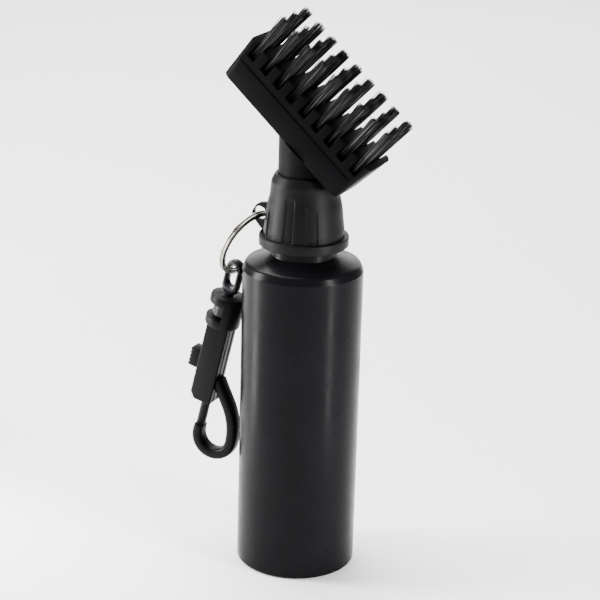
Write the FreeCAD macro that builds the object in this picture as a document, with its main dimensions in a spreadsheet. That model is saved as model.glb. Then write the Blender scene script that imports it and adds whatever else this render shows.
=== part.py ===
import FreeCAD, Part
import math
import os

import Sketcher
from FreeCAD import Placement, Rotation, Vector

# Squeeze-bottle groove brush for golf clubs: a water bottle with a screw cap, an angled brush head that
# the cap clamps on the bottle's neck, and a swivel snap hook on a split ring.
# Millimetres. The bottle's axis is +Z and its base is on z = 0. The bristles lean towards +X and the
# hook hangs on the -X side, so the object is symmetric about the XZ plane.

# ---------------------------------------------------------------- driving dimensions
SIZES = (
    # bottle
    ("body_radius", 20.0),
    ("body_wall", 1.3),
    ("base_thickness", 1.8),
    ("base_edge_radius", 1.2),
    ("crease_height", 104.2),
    ("shoulder_radius", 18.9),
    ("shoulder_edge_height", 106.6),
    ("shoulder_edge_radius", 2.0),
    ("shoulder_top", 109.3),
    ("bead_radius", 11.0),
    ("bead_top", 112.0),
    ("neck_radius", 9.85),
    ("neck_bore_radius", 8.2),
    ("neck_top", 127.0),
    # screw thread of the neck and the cap
    ("thread_pitch", 3.175),
    ("thread_turns", 1.5),
    ("thread_depth", 1.0),
    ("thread_start", 116.4),
    ("thread_foot", 1.7),
    ("thread_crest", 0.8),
    # cap
    ("rim_radius", 14.8),
    ("rim_bottom", 112.6),
    ("rim_top", 115.9),
    ("skirt_foot_radius", 13.3),
    ("skirt_top_radius", 12.15),
    ("skirt_top", 127.0),
    ("collar_radius", 11.3),
    ("collar_foot", 128.9),
    ("collar_top", 133.4),
    ("cap_top", 136.6),
    ("cap_top_radius", 9.6),
    ("cap_bore_radius", 11.15),
    ("cap_bore_top", 125.6),
    ("washer_pocket_radius", 10.6),
    ("flange_pocket_radius", 10.3),
    ("grip_depth", 0.5),
    ("grip_angle", 18.0),
    ("grip_middle_top", 129.6),
    ("grip_outer_top", 126.4),
    # ear that carries the ring
    ("ear_x", -15.9),
    ("ear_z", 120.6),
    ("ear_radius", 3.5),
    ("ear_hole_z", 120.85),
    ("ear_hole_radius", 2.3),
    ("ear_thickness", 2.2),
    # sealing washer
    ("washer_thickness", 1.5),
    ("washer_radius", 10.4),
    ("washer_hole_radius", 6.0),
    # head stem
    ("flange_radius", 10.2),
    ("flange_thickness", 2.8),
    ("stem_radius", 9.0),
    ("stem_bore_radius", 5.5),
    ("stem_bore_top", 138.0),
    ("feed_radius", 3.2),
    # brush head, in its own frame: x along the rows' spacing, y across, z along the bristles
    ("head_tilt", 48.2),
    ("head_x", -5.3),
    ("head_z", 150.0),
    ("block_back_start", -27.6),
    ("block_back_end", 26.5),
    ("block_face_start", -28.8),
    ("block_face_end", 28.25),
    ("block_width", 18.4),
    ("block_depth", 15.2),
    ("block_corner_radius", 2.6),
    ("plate_length", 46.0),
    ("plate_width", 13.0),
    ("plate_thickness", 1.6),
    ("plate_clearance", 0.05),
    ("manifold_length", 43.0),
    ("manifold_width", 8.0),
    ("manifold_depth", 1.8),
    ("outlet_radius", 0.6),
    ("ledge_height", 7.6),
    ("ledge_depth", 0.35),
    ("slot_floor", 10.2),
    ("slot_width", 3.2),
    ("row_pitch", 6.1),
    ("tuft_spacing", 5.4),
    ("tuft_hole_radius", 1.35),
    ("tuft_hole_depth", 4.0),
    ("tuft_radius", 1.3),
    ("tuft_tip_radius", 1.75),
    ("tuft_tip_height", 28.7),
    ("tuft_splay", 9.0),
    ("anchor_width", 2.9),
    ("anchor_thickness", 0.4),
    ("anchor_height", 1.4),
    # split ring
    ("ring_top_x", -15.6),
    ("ring_top_z", 120.3),
    ("ring_bottom_x", -25.0),
    ("ring_bottom_z", 99.0),
    ("ring_twist", 14.0),
    ("ring_band", 1.7),
    ("ring_turns_thickness", 1.8),
    ("ring_gap", 0.12),
    ("ring_edge", 0.3),
    # snap hook, in its own frame: z up along the swivel axis, origin on the ring's lowest point
    ("hook_lean", 13.2),
    ("eye_turn", -13.0),
    ("eye_half_width", 3.15),
    ("eye_thickness", 3.0),
    ("eye_slot_half_width", 1.8),
    ("eye_slot_bottom", -5.2),
    ("eye_bottom", -8.7),
    ("eye_bar", 2.2),
    ("stud_radius", 1.5),
    ("stud_flange_radius", 4.2),
    ("stud_flange_thickness", 4.6),
    ("hook_collar_radius", 6.0),
    ("hook_collar_top", -9.0),
    ("hook_collar_bottom", -20.5),
    ("window_top", -12.0),
    ("window_bottom", -17.4),
    ("window_outer_x", -7.0),
    ("window_inner_x", 1.6),
    ("window_back_y", 3.2),
    ("bar_outer_x", -3.9),
    ("bar_spine_x", 4.2),
    ("bar_thickness", 7.8),
    ("bar_bottom", -49.3),
    ("bar_edge_radius", 0.7),
    ("spine_groove_width", 2.4),
    ("spine_groove_depth", 0.6),
    ("bolt_x", 1.3),
    ("bolt_bore_radius", 1.65),
    ("bolt_bore_top", -21.8),
    ("bolt_radius", 1.6),
    ("bolt_tip", -59.15),
    ("bolt_top", -33.0),
    ("bolt_travel", 8.2),
    ("knob_z", -35.2),
    ("knob_neck_radius", 0.8),
    ("knob_slot_clearance", 0.2),
    ("knob_pad_outer_x", -7.9),
    ("knob_pad_inner_x", -4.3),
    ("knob_length", 7.0),
    ("knob_width", 4.2),
    ("hook_tip_z", -59.3),
    ("hook_bend_z", -61.0),
    ("hook_bend_radius", 6.4),
    ("hook_arm_radius", 22.0),
    ("hook_arm_angle", 38.0),
    ("hook_arm_run", 9.0),
    ("hook_section_width", 4.0),
    ("hook_section_thickness", 5.6),
    ("hook_section_corner", 1.2),
    # bolt spring
    ("coil_radius", 1.2),
    ("coil_wire_radius", 0.2),
    ("coil_turns", 6.0),
)

ROWS = 9
TUFTS_PER_ROW = 3
GRIPS = (
    # direction of a recess in the cap's two grips, and the size that gives its top
    (-36.0, "grip_outer_top"),
    (0.0, "grip_middle_top"),
    (36.0, "grip_outer_top"),
)
OUTLET_ROWS = (-3, -1, 1, 3)

doc = FreeCAD.newDocument("groove_brush")
sheet = doc.addObject("Spreadsheet::Sheet", "Sizes")
for row, (alias, value) in enumerate(SIZES, start=1):
    sheet.set(f"A{row}", alias)
    sheet.set(f"B{row}", str(value))
    sheet.setAlias(f"B{row}", alias)
doc.recompute()

nodes = []


def size(alias):
    """The sheet's value of one driving dimension."""
    return float(sheet.get(alias))


def bind(feature, **expressions):
    """Ties properties of a feature to expressions over the sheet."""
    for name, expression in expressions.items():
        feature.setExpression(name, expression)


# ---------------------------------------------------------------- small modelling helpers
def new_body(label, placement=None):
    body = doc.addObject("PartDesign::Body", label)
    body.Label = label
    if placement:
        body.Placement = placement
    nodes.append(body)
    return body


def origin_plane(body, role):
    return next(plane for plane in body.Origin.OriginFeatures if plane.Role == role)


def new_sketch(body, name, role, lift=None, turn=0.0):
    """A sketch on an origin plane, lifted along its normal and turned about its own upright."""
    sketch = body.newObject("Sketcher::SketchObject", name)
    sketch.AttachmentSupport = [(origin_plane(body, role), "")]
    sketch.MapMode = "FlatFace"
    sketch.AttachmentOffset = Placement(Vector(0, 0, 0), Rotation(Vector(0, 1, 0), turn))
    if lift:
        sketch.setExpression("AttachmentOffset.Base.z", lift)
    return sketch


def place_point(sketch, geometry, end, x, y):
    """Fixes one point of a sketch at two expressions measured from the sketch's origin."""
    for kind, expression in (("DistanceX", x), ("DistanceY", y)):
        index = sketch.addConstraint(Sketcher.Constraint(kind, -1, 1, geometry, end, 1.0))
        sketch.setExpression(f"Constraints[{index}]", expression)


def add_polygon(sketch, points):
    """A closed outline with one vertex per pair of expressions."""
    count = len(points)
    first = sketch.GeometryCount
    starts = [Vector(10 * math.cos(2 * math.pi * k / count), 10 * math.sin(2 * math.pi * k / count), 0)
              for k in range(count)]
    for k in range(count):
        sketch.addGeometry(Part.LineSegment(starts[k], starts[(k + 1) % count]), False)
    for k in range(count):
        sketch.addConstraint(Sketcher.Constraint("Coincident", first + k, 2, first + (k + 1) % count, 1))
    for k, (x, y) in enumerate(points):
        place_point(sketch, first + k, 1, x, y)


def add_circle(sketch, x, y, radius):
    circle = sketch.addGeometry(Part.Circle(Vector(0, 0, 0), Vector(0, 0, 1), 1.0), False)
    place_point(sketch, circle, 3, x, y)
    index = sketch.addConstraint(Sketcher.Constraint("Radius", circle, 1.0))
    sketch.setExpression(f"Constraints[{index}]", radius)


def rectangle(x_low, x_high, y_low, y_high):
    return ((x_low, y_low), (x_high, y_low), (x_high, y_high), (x_low, y_high))


def revolve(body, sketch, angle="360", kind="PartDesign::Revolution"):
    feature = body.newObject(kind, sketch.Name + "_turn")
    feature.Profile = sketch
    feature.ReferenceAxis = (sketch, ["V_Axis"])
    feature.Midplane = True
    bind(feature, Angle=angle)
    doc.recompute()
    return feature


def extrude(body, sketch, length, kind="PartDesign::Pad", midplane=False, reverse=False):
    feature = body.newObject(kind, sketch.Name + "_run")
    feature.Profile = sketch
    feature.Midplane = midplane
    feature.Reversed = reverse
    bind(feature, Length=length)
    before = feature.BaseFeature.Shape.Volume if feature.BaseFeature else 0.0
    doc.recompute()
    change = feature.Shape.Volume - before
    wrong_way = change >= 0 if kind == "PartDesign::Pocket" else change <= 0
    if wrong_way:
        raise RuntimeError(f"{feature.Name} changed its body's volume by {change:.3f} mm3")
    return feature


def pocket(body, sketch, length, midplane=False, reverse=False):
    return extrude(body, sketch, length, "PartDesign::Pocket", midplane, reverse)


def repeat(body, feature, spacing, count):
    """Copies a feature along the body's x axis, starting from where it is."""
    pattern = body.newObject("PartDesign::LinearPattern", feature.Name + "_row")
    pattern.Originals = [feature]
    pattern.Direction = (origin_plane(body, "X_Axis"), [""])
    pattern.Occurrences = count
    bind(pattern, Length=f"{spacing} * {count - 1}")
    body.Tip = pattern
    doc.recompute()
    return pattern


def fillet(body, radius, chosen):
    """Rounds those edges of the body's tip that the test picks."""
    base = body.Tip
    names = [f"Edge{k}" for k, edge in enumerate(base.Shape.Edges, start=1) if chosen(edge)]
    if not names:
        raise RuntimeError(f"no edge to round on {body.Label}")
    feature = body.newObject("PartDesign::Fillet", f"{body.Name}_round_{len(body.Group)}")
    feature.Base = (base, names)
    bind(feature, Radius=radius)
    doc.recompute()
    return feature


def helix(body, sketch, pitch, turns):
    feature = body.newObject("PartDesign::AdditiveHelix", sketch.Name + "_helix")
    feature.Profile = sketch
    feature.ReferenceAxis = (sketch, ["V_Axis"])
    feature.Mode = "pitch-turns-angle"
    bind(feature, Pitch=pitch, Turns=turns)
    doc.recompute()
    return feature


def add_part(kind, name, **expressions):
    """A Part primitive whose sizes are tied to the sheet."""
    feature = doc.addObject(kind, name)
    bind(feature, **expressions)
    return feature


def combine(kind, name, shapes):
    feature = doc.addObject(kind, name)
    feature.Shapes = shapes
    return feature


def cut(name, base, tool):
    feature = doc.addObject("Part::Cut", name)
    feature.Base = base
    feature.Tool = tool
    return feature


def circle_at(edge, radius, height):
    """True for a full circle about the Z axis with this radius at this height."""
    curve = edge.Curve
    return (isinstance(curve, Part.Circle) and abs(curve.Radius - radius) < 1e-3
            and abs(curve.Center.z - height) < 1e-3 and math.hypot(curve.Center.x, curve.Center.y) < 1e-3)


# ---------------------------------------------------------------- frames of the tilted sub-assemblies
def head_placement():
    """Origin at the middle of the block's back, local z along the bristles."""
    turn = Rotation(Vector(0, 1, 0), 90.0 - size("head_tilt"))
    return Placement(Vector(size("head_x"), 0, size("head_z")), turn)


def hook_placement():
    turn = Rotation(Vector(0, 1, 0), size("hook_lean"))
    return Placement(Vector(size("ring_bottom_x"), 0, size("ring_bottom_z")), turn)


def ring_placement():
    """Origin at the ring's middle, local x down the ring from the ear to the hook, local z its axis."""
    top = Vector(size("ring_top_x"), 0, size("ring_top_z"))
    bottom = Vector(size("ring_bottom_x"), 0, size("ring_bottom_z"))
    down = (bottom - top).normalize()
    level = Rotation(down, Vector(0, 1, 0), down.cross(Vector(0, 1, 0)), "XYZ")
    twist = Rotation(down, size("ring_twist"))
    return Placement((top + bottom) * 0.5, twist.multiply(level))


# ---------------------------------------------------------------- bottle
def make_bottle():
    body = new_body("bottle")
    shell = new_sketch(body, "bottle_shell", "XZ_Plane")
    inner_radius = "Sizes.body_radius - Sizes.body_wall"
    add_polygon(shell, (
        ("0", "0"),
        ("Sizes.body_radius", "0"),
        ("Sizes.body_radius", "Sizes.crease_height"),
        ("Sizes.shoulder_radius", "Sizes.shoulder_edge_height"),
        ("Sizes.bead_radius", "Sizes.shoulder_top"),
        ("Sizes.bead_radius", "Sizes.bead_top"),
        ("Sizes.neck_radius", "Sizes.bead_top"),
        ("Sizes.neck_radius", "Sizes.neck_top"),
        ("Sizes.neck_bore_radius", "Sizes.neck_top"),
        ("Sizes.neck_bore_radius", "Sizes.shoulder_top - Sizes.body_wall"),
        ("Sizes.shoulder_radius - Sizes.body_wall", "Sizes.shoulder_edge_height - Sizes.body_wall"),
        (inner_radius, "Sizes.crease_height - Sizes.body_wall / 3"),
        (inner_radius, "Sizes.base_thickness"),
        ("0", "Sizes.base_thickness"),
    ))
    revolve(body, shell)
    fillet(body, "Sizes.shoulder_edge_radius",
           lambda edge: circle_at(edge, size("shoulder_radius"), size("shoulder_edge_height")))
    fillet(body, "Sizes.base_edge_radius", lambda edge: circle_at(edge, size("body_radius"), 0.0))
    add_thread(body, "neck_thread", "Sizes.neck_radius", 1, "Sizes.thread_start")
    return body


def add_thread(body, name, wall, side, start):
    """A trapezoid thread on a wall, side +1 outwards or -1 inwards, rooted slightly inside it."""
    profile = new_sketch(body, name, "XZ_Plane")
    foot = f"{wall} - {0.15 * side}"
    crest = f"{wall} + {side} * Sizes.thread_depth"
    add_polygon(profile, (
        (foot, f"{start} - Sizes.thread_foot / 2"),
        (crest, f"{start} - Sizes.thread_crest / 2"),
        (crest, f"{start} + Sizes.thread_crest / 2"),
        (foot, f"{start} + Sizes.thread_foot / 2"),
    ))
    helix(body, profile, "Sizes.thread_pitch", "Sizes.thread_turns")


# ---------------------------------------------------------------- screw cap
def make_cap():
    body = new_body("screw_cap")
    shell = new_sketch(body, "cap_shell", "XZ_Plane")
    washer_top = "Sizes.neck_top + Sizes.washer_thickness"
    flange_top = washer_top + " + Sizes.flange_thickness"
    stem_hole = "Sizes.stem_radius + 0.05"
    add_polygon(shell, (
        ("Sizes.cap_bore_radius", "Sizes.rim_bottom"),
        ("Sizes.rim_radius", "Sizes.rim_bottom"),
        ("Sizes.rim_radius", "Sizes.rim_top"),
        ("Sizes.skirt_foot_radius", "Sizes.rim_top"),
        ("Sizes.skirt_top_radius", "Sizes.skirt_top"),
        ("Sizes.collar_radius", "Sizes.collar_foot"),
        ("Sizes.collar_radius", "Sizes.collar_top"),
        ("Sizes.cap_top_radius", "Sizes.cap_top"),
        (stem_hole, "Sizes.cap_top"),
        (stem_hole, flange_top),
        ("Sizes.flange_pocket_radius", flange_top),
        ("Sizes.flange_pocket_radius", washer_top),
        ("Sizes.washer_pocket_radius", washer_top),
        ("Sizes.washer_pocket_radius", "Sizes.cap_bore_top"),
        ("Sizes.cap_bore_radius", "Sizes.cap_bore_top"),
    ))
    revolve(body, shell)
    add_ear(body)
    for side in (0.0, 180.0):
        for offset, top in GRIPS:
            add_grip(body, 90.0 + side + offset, "Sizes." + top)
    add_thread(body, "cap_thread", "Sizes.cap_bore_radius", -1,
               "Sizes.thread_start - Sizes.thread_pitch / 2")
    return body


def add_ear(body):
    """A flat ear on the -X side, standing on the rim, with a hole for the split ring."""
    wall_x = "-Sizes.skirt_top_radius + 0.4"
    plate = new_sketch(body, "ear_plate", "XZ_Plane")
    add_polygon(plate, (
        (wall_x, "Sizes.rim_top - 0.5"),
        (wall_x, "Sizes.ear_z + Sizes.ear_radius + 0.9"),
        ("Sizes.ear_x", "Sizes.ear_z + Sizes.ear_radius"),
        ("Sizes.ear_x - Sizes.ear_radius * 0.82", "Sizes.ear_z - Sizes.ear_radius * 0.57"),
        ("Sizes.ear_x + 1.2", "Sizes.rim_top - 0.5"),
    ))
    extrude(body, plate, "Sizes.ear_thickness", midplane=True)
    round_end = new_sketch(body, "ear_end", "XZ_Plane")
    add_circle(round_end, "Sizes.ear_x", "Sizes.ear_z", "Sizes.ear_radius")
    extrude(body, round_end, "Sizes.ear_thickness", midplane=True)
    hole = new_sketch(body, "ear_hole", "XZ_Plane")
    add_circle(hole, "Sizes.ear_x", "Sizes.ear_hole_z", "Sizes.ear_hole_radius")
    pocket(body, hole, "Sizes.ear_thickness * 2", midplane=True)


def add_grip(body, direction, top):
    """A shallow recess that follows the cap's flank over one grip angle."""
    strip = new_sketch(body, f"grip_{len(body.Group)}", "XZ_Plane", turn=direction)
    deep = "Sizes.grip_depth"
    add_polygon(strip, (
        (f"Sizes.skirt_foot_radius - {deep}", "Sizes.rim_top + 0.2"),
        ("Sizes.rim_radius", "Sizes.rim_top + 0.2"),
        ("Sizes.rim_radius", top),
        (f"Sizes.collar_radius - {deep} * 0.5", top),
        (f"Sizes.skirt_top_radius - {deep}", "Sizes.skirt_top - 1.5"),
    ))
    revolve(body, strip, "Sizes.grip_angle", "PartDesign::Groove")


# ---------------------------------------------------------------- sealing washer
def make_washer():
    body = new_body("sealing_washer")
    ring = new_sketch(body, "washer_ring", "XY_Plane", lift="Sizes.neck_top")
    add_circle(ring, "0", "0", "Sizes.washer_radius")
    add_circle(ring, "0", "0", "Sizes.washer_hole_radius")
    extrude(body, ring, "Sizes.washer_thickness")
    return body


# ---------------------------------------------------------------- stem with the manifold's back plate
def make_stem():
    washer_top = "Sizes.neck_top + Sizes.washer_thickness"
    flange = add_part("Part::Cylinder", "stem_flange", Radius="Sizes.flange_radius",
                      Height="Sizes.flange_thickness")
    bind(flange, **{"Placement.Base.z": washer_top})
    shank = add_part("Part::Cylinder", "stem_shank", Radius="Sizes.stem_radius", Height="40")
    bind(shank, **{"Placement.Base.z": washer_top})
    beyond = add_part("Part::Box", "stem_beyond", Length="120", Width="60", Height="60")
    beyond.Placement = head_placement().multiply(Placement(Vector(-60, -30, 0), Rotation()))
    trimmed = cut("stem_trimmed", shank, beyond)
    plate = add_part("Part::Box", "stem_plate", Length="Sizes.plate_length - 2 * Sizes.plate_clearance",
                     Width="Sizes.plate_width - 2 * Sizes.plate_clearance", Height="Sizes.plate_thickness")
    doc.recompute()
    corner = Vector(-plate.Length.Value / 2, -plate.Width.Value / 2, 0)
    plate.Placement = head_placement().multiply(Placement(corner, Rotation()))
    solid = combine("Part::MultiFuse", "stem_solid", [flange, trimmed, plate])
    bore = add_part("Part::Cylinder", "stem_bore", Radius="Sizes.stem_bore_radius",
                    Height="Sizes.stem_bore_top - Sizes.neck_top")
    bind(bore, **{"Placement.Base.z": "Sizes.neck_top"})
    feed = add_part("Part::Cylinder", "stem_feed", Radius="Sizes.feed_radius", Height="40")
    bind(feed, **{"Placement.Base.z": "Sizes.neck_top"})
    channel = combine("Part::MultiFuse", "stem_channel", [bore, feed])
    stem = cut("neck_stem", solid, channel)
    stem.Label = "neck_stem"
    nodes.append(stem)
    return stem


# ---------------------------------------------------------------- brush block
def make_block():
    body = new_body("brush_block", head_placement())
    side = new_sketch(body, "block_side", "XZ_Plane")
    add_polygon(side, (
        ("Sizes.block_back_start", "0"),
        ("Sizes.block_back_end", "0"),
        ("Sizes.block_face_end", "Sizes.block_depth"),
        ("Sizes.block_face_start", "Sizes.block_depth"),
    ))
    extrude(body, side, "Sizes.block_width", midplane=True)
    fillet(body, "Sizes.block_corner_radius", spans_depth)
    add_ledges(body)
    add_slots(body)
    add_tuft_holes(body)
    add_manifold(body)
    return body


def spans_depth(edge):
    """True for an edge of the block that runs from its back to its bristle face."""
    heights = [vertex.Point.z for vertex in edge.Vertexes]
    return len(heights) == 2 and abs(abs(heights[0] - heights[1]) - size("block_depth")) < 1e-3


def add_ledges(body):
    """A small step along both long sides, where the slotted part of the block begins."""
    ledge = new_sketch(body, "comb_ledge", "YZ_Plane")
    for side in (-1, 1):
        near = f"{side} * (Sizes.block_width / 2 - Sizes.ledge_depth)"
        add_polygon(ledge, rectangle(near, f"{side} * Sizes.block_width", "Sizes.ledge_height",
                                     "Sizes.block_depth + 1"))
    pocket(body, ledge, "(Sizes.block_face_end - Sizes.block_face_start) * 2", midplane=True)


def add_slots(body):
    """Slots across the block, one per row of bristles."""
    slot = new_sketch(body, "row_slot", "XZ_Plane")
    middle = f"-Sizes.row_pitch * {(ROWS - 1) / 2}"
    add_polygon(slot, rectangle(f"{middle} - Sizes.slot_width / 2", f"{middle} + Sizes.slot_width / 2",
                                "Sizes.slot_floor", "Sizes.block_depth + 1"))
    repeat(body, pocket(body, slot, "Sizes.block_width * 2", midplane=True), "Sizes.row_pitch", ROWS)


def add_tuft_holes(body):
    """Blind holes in the slots' floors that take the tufts."""
    holes = new_sketch(body, "tuft_holes", "XY_Plane", lift="Sizes.slot_floor")
    for column in (-1, 0, 1):
        add_circle(holes, f"-Sizes.row_pitch * {(ROWS - 1) / 2}", f"{column} * Sizes.tuft_spacing",
                   "Sizes.tuft_hole_radius")
    repeat(body, pocket(body, holes, "Sizes.tuft_hole_depth"), "Sizes.row_pitch", ROWS)


def add_manifold(body):
    """A recess for the back plate, the water channel under it, and outlets into the slots."""
    recess = new_sketch(body, "plate_recess", "XY_Plane")
    add_polygon(recess, rectangle("-Sizes.plate_length / 2", "Sizes.plate_length / 2",
                                  "-Sizes.plate_width / 2", "Sizes.plate_width / 2"))
    pocket(body, recess, "Sizes.plate_thickness", reverse=True)
    channel = new_sketch(body, "manifold_channel", "XY_Plane")
    add_polygon(channel, rectangle("-Sizes.manifold_length / 2", "Sizes.manifold_length / 2",
                                   "-Sizes.manifold_width / 2", "Sizes.manifold_width / 2"))
    pocket(body, channel, "Sizes.plate_thickness + Sizes.manifold_depth", reverse=True)
    outlets = new_sketch(body, "outlets", "XY_Plane")
    for row in OUTLET_ROWS:
        for side in (-0.5, 0.5):
            add_circle(outlets, f"{row} * Sizes.row_pitch", f"{side} * Sizes.tuft_spacing",
                       "Sizes.outlet_radius")
    pocket(body, outlets, "Sizes.slot_floor + 0.5", reverse=True)


# ---------------------------------------------------------------- bristle tufts and their anchors
def tuft_spot(row, column):
    """Middle of a tuft hole's floor, in the head's frame."""
    return Vector((row - (ROWS - 1) / 2) * size("row_pitch"), column * size("tuft_spacing"),
                  size("slot_floor") - size("tuft_hole_depth"))


def anchor_box(name, spot):
    """The flat metal strip that holds the folded bristles down in their hole."""
    box = add_part("Part::Box", name, Length="Sizes.anchor_thickness", Width="Sizes.anchor_width",
                   Height="Sizes.anchor_height")
    corner = spot - Vector(size("anchor_thickness") / 2, size("anchor_width") / 2, 0)
    box.Placement = head_placement().multiply(Placement(corner, Rotation()))
    return box


def make_tuft(row, column):
    """A tuft: a root that fills its hole, and a plume that widens and leans away from the middle."""
    name = f"tuft_{row + 1}_{('near', 'middle', 'far')[column + 1]}"
    spot = tuft_spot(row, column)
    root = add_part("Part::Cylinder", name + "_root", Radius="Sizes.tuft_radius",
                    Height="Sizes.tuft_hole_depth")
    root.Placement = head_placement().multiply(Placement(spot, Rotation()))
    plume = add_part("Part::Cone", name + "_plume", Radius1="Sizes.tuft_radius",
                     Radius2="Sizes.tuft_tip_radius",
                     Height=f"(Sizes.tuft_tip_height - Sizes.slot_floor) / cos({column} * Sizes.tuft_splay)")
    lean = Rotation(Vector(1, 0, 0), -column * size("tuft_splay"))
    mouth = spot + Vector(0, 0, size("tuft_hole_depth") - 0.3)
    plume.Placement = head_placement().multiply(Placement(mouth, lean))
    whole = combine("Part::MultiFuse", name + "_whole", [root, plume])
    node = cut(name, whole, anchor_box(name + "_fold", spot))
    node.Label = name
    nodes.append(node)


def make_anchors():
    boxes = [anchor_box(f"anchor_{row}_{column + 1}", tuft_spot(row, column))
             for row in range(ROWS) for column in (-1, 0, 1)]
    group = doc.addObject("Part::Compound", "tuft_anchors")
    group.Label = "tuft_anchors"
    group.Links = boxes
    nodes.append(group)


# ---------------------------------------------------------------- split ring
def make_ring():
    """Two turns of flat wire lying on each other, with the gap between them as a groove."""
    body = new_body("split_ring", ring_placement())
    top = Vector(size("ring_top_x"), 0, size("ring_top_z"))
    bottom = Vector(size("ring_bottom_x"), 0, size("ring_bottom_z"))
    sheet.set(f"A{len(SIZES) + 1}", "ring_mean_radius")
    sheet.set(f"B{len(SIZES) + 1}", f"{(bottom - top).Length / 2:.4f}")
    sheet.setAlias(f"B{len(SIZES) + 1}", "ring_mean_radius")
    doc.recompute()
    outer = "Sizes.ring_mean_radius + Sizes.ring_band / 2"
    inner = "Sizes.ring_mean_radius - Sizes.ring_band / 2"
    half = "Sizes.ring_turns_thickness / 2"
    band = new_sketch(body, "ring_section", "XZ_Plane")
    add_polygon(band, (
        (inner, f"-{half}"),
        (outer, f"-{half}"),
        (outer, "-Sizes.ring_gap / 2"),
        (f"{outer} - Sizes.ring_edge * 2", "-Sizes.ring_gap / 2"),
        (f"{outer} - Sizes.ring_edge * 2", "Sizes.ring_gap / 2"),
        (outer, "Sizes.ring_gap / 2"),
        (outer, half),
        (inner, half),
    ))
    revolve(body, band)
    fillet(body, "Sizes.ring_edge",
           lambda edge: abs(abs(edge.CenterOfMass.z) - size("ring_turns_thickness") / 2) < 1e-3)
    return body


# ---------------------------------------------------------------- snap hook: swivel eye
def make_eye():
    """A narrow oval eye for the ring, on a stud that turns in the hook's collar."""
    turned = Placement(Vector(), Rotation(Vector(0, 0, 1), size("eye_turn")))
    body = new_body("swivel_eye", hook_placement().multiply(turned))
    loop = new_sketch(body, "eye_loop", "XZ_Plane")
    add_polygon(loop, rectangle("-Sizes.eye_half_width", "Sizes.eye_half_width", "Sizes.eye_bottom",
                                "Sizes.eye_slot_half_width + Sizes.eye_bar"))
    extrude(body, loop, "Sizes.eye_thickness", midplane=True)
    fillet(body, "Sizes.eye_half_width - 0.4",
           lambda edge: runs_across(edge, size("eye_thickness")) and edge.CenterOfMass.z > 0)
    fillet(body, "Sizes.eye_half_width - 1.6",
           lambda edge: runs_across(edge, size("eye_thickness")) and edge.CenterOfMass.z < 0)
    slot = new_sketch(body, "eye_slot", "XZ_Plane")
    add_polygon(slot, rectangle("-Sizes.eye_slot_half_width", "Sizes.eye_slot_half_width",
                                "Sizes.eye_slot_bottom", "0"))
    pocket(body, slot, "Sizes.eye_thickness * 2", midplane=True)
    slot_end = new_sketch(body, "eye_slot_end", "XZ_Plane")
    add_circle(slot_end, "0", "0", "Sizes.eye_slot_half_width")
    pocket(body, slot_end, "Sizes.eye_thickness * 2", midplane=True)
    stud = new_sketch(body, "eye_stud", "XZ_Plane")
    flange_top = "Sizes.window_top - 0.2"
    add_polygon(stud, (
        ("0", "Sizes.eye_bottom + 1"),
        ("Sizes.stud_radius", "Sizes.eye_bottom + 1"),
        ("Sizes.stud_radius", flange_top),
        ("Sizes.stud_flange_radius", flange_top),
        ("Sizes.stud_flange_radius", f"{flange_top} - Sizes.stud_flange_thickness + 0.6"),
        ("Sizes.stud_flange_radius - 0.8", f"{flange_top} - Sizes.stud_flange_thickness"),
        ("0", f"{flange_top} - Sizes.stud_flange_thickness"),
    ))
    revolve(body, stud)
    return body


def runs_across(edge, length):
    """True for a straight edge of this length along the body's y axis."""
    if not isinstance(edge.Curve, Part.Line) or abs(edge.Length - length) > 1e-3:
        return False
    return abs(edge.Vertexes[0].Point.y - edge.Vertexes[-1].Point.y) > length - 1e-3


# ---------------------------------------------------------------- snap hook: body
def make_hook():
    body = new_body("hook_body", hook_placement())
    bar = new_sketch(body, "hook_bar", "XZ_Plane")
    add_polygon(bar, (
        ("Sizes.bar_outer_x", "Sizes.hook_collar_bottom + 2"),
        ("Sizes.bar_outer_x", "Sizes.bar_bottom + 2.4"),
        ("Sizes.bar_outer_x + 1.8", "Sizes.bar_bottom"),
        ("Sizes.bar_spine_x", "Sizes.bar_bottom"),
        ("Sizes.bar_spine_x", "Sizes.hook_collar_bottom + 2"),
    ))
    extrude(body, bar, "Sizes.bar_thickness", midplane=True)
    fillet(body, "Sizes.bar_edge_radius", is_bar_edge)
    collar = new_sketch(body, "hook_collar", "XY_Plane", lift="Sizes.hook_collar_bottom")
    add_circle(collar, "0", "0", "Sizes.hook_collar_radius")
    extrude(body, collar, "Sizes.hook_collar_top - Sizes.hook_collar_bottom")
    fillet(body, "0.9", is_collar_rim)
    add_hook_bend(body)
    cut_window(body)
    cut_bolt_way(body)
    return body


def is_collar_rim(edge):
    """True for the collar's upper edge."""
    return circle_at(edge, size("hook_collar_radius"), size("hook_collar_top"))


def is_bar_edge(edge):
    """True for the four long edges of the bar."""
    if not isinstance(edge.Curve, Part.Line) or edge.Length < 20:
        return False
    return abs(abs(edge.CenterOfMass.y) - size("bar_thickness") / 2) < 1e-3


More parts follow.
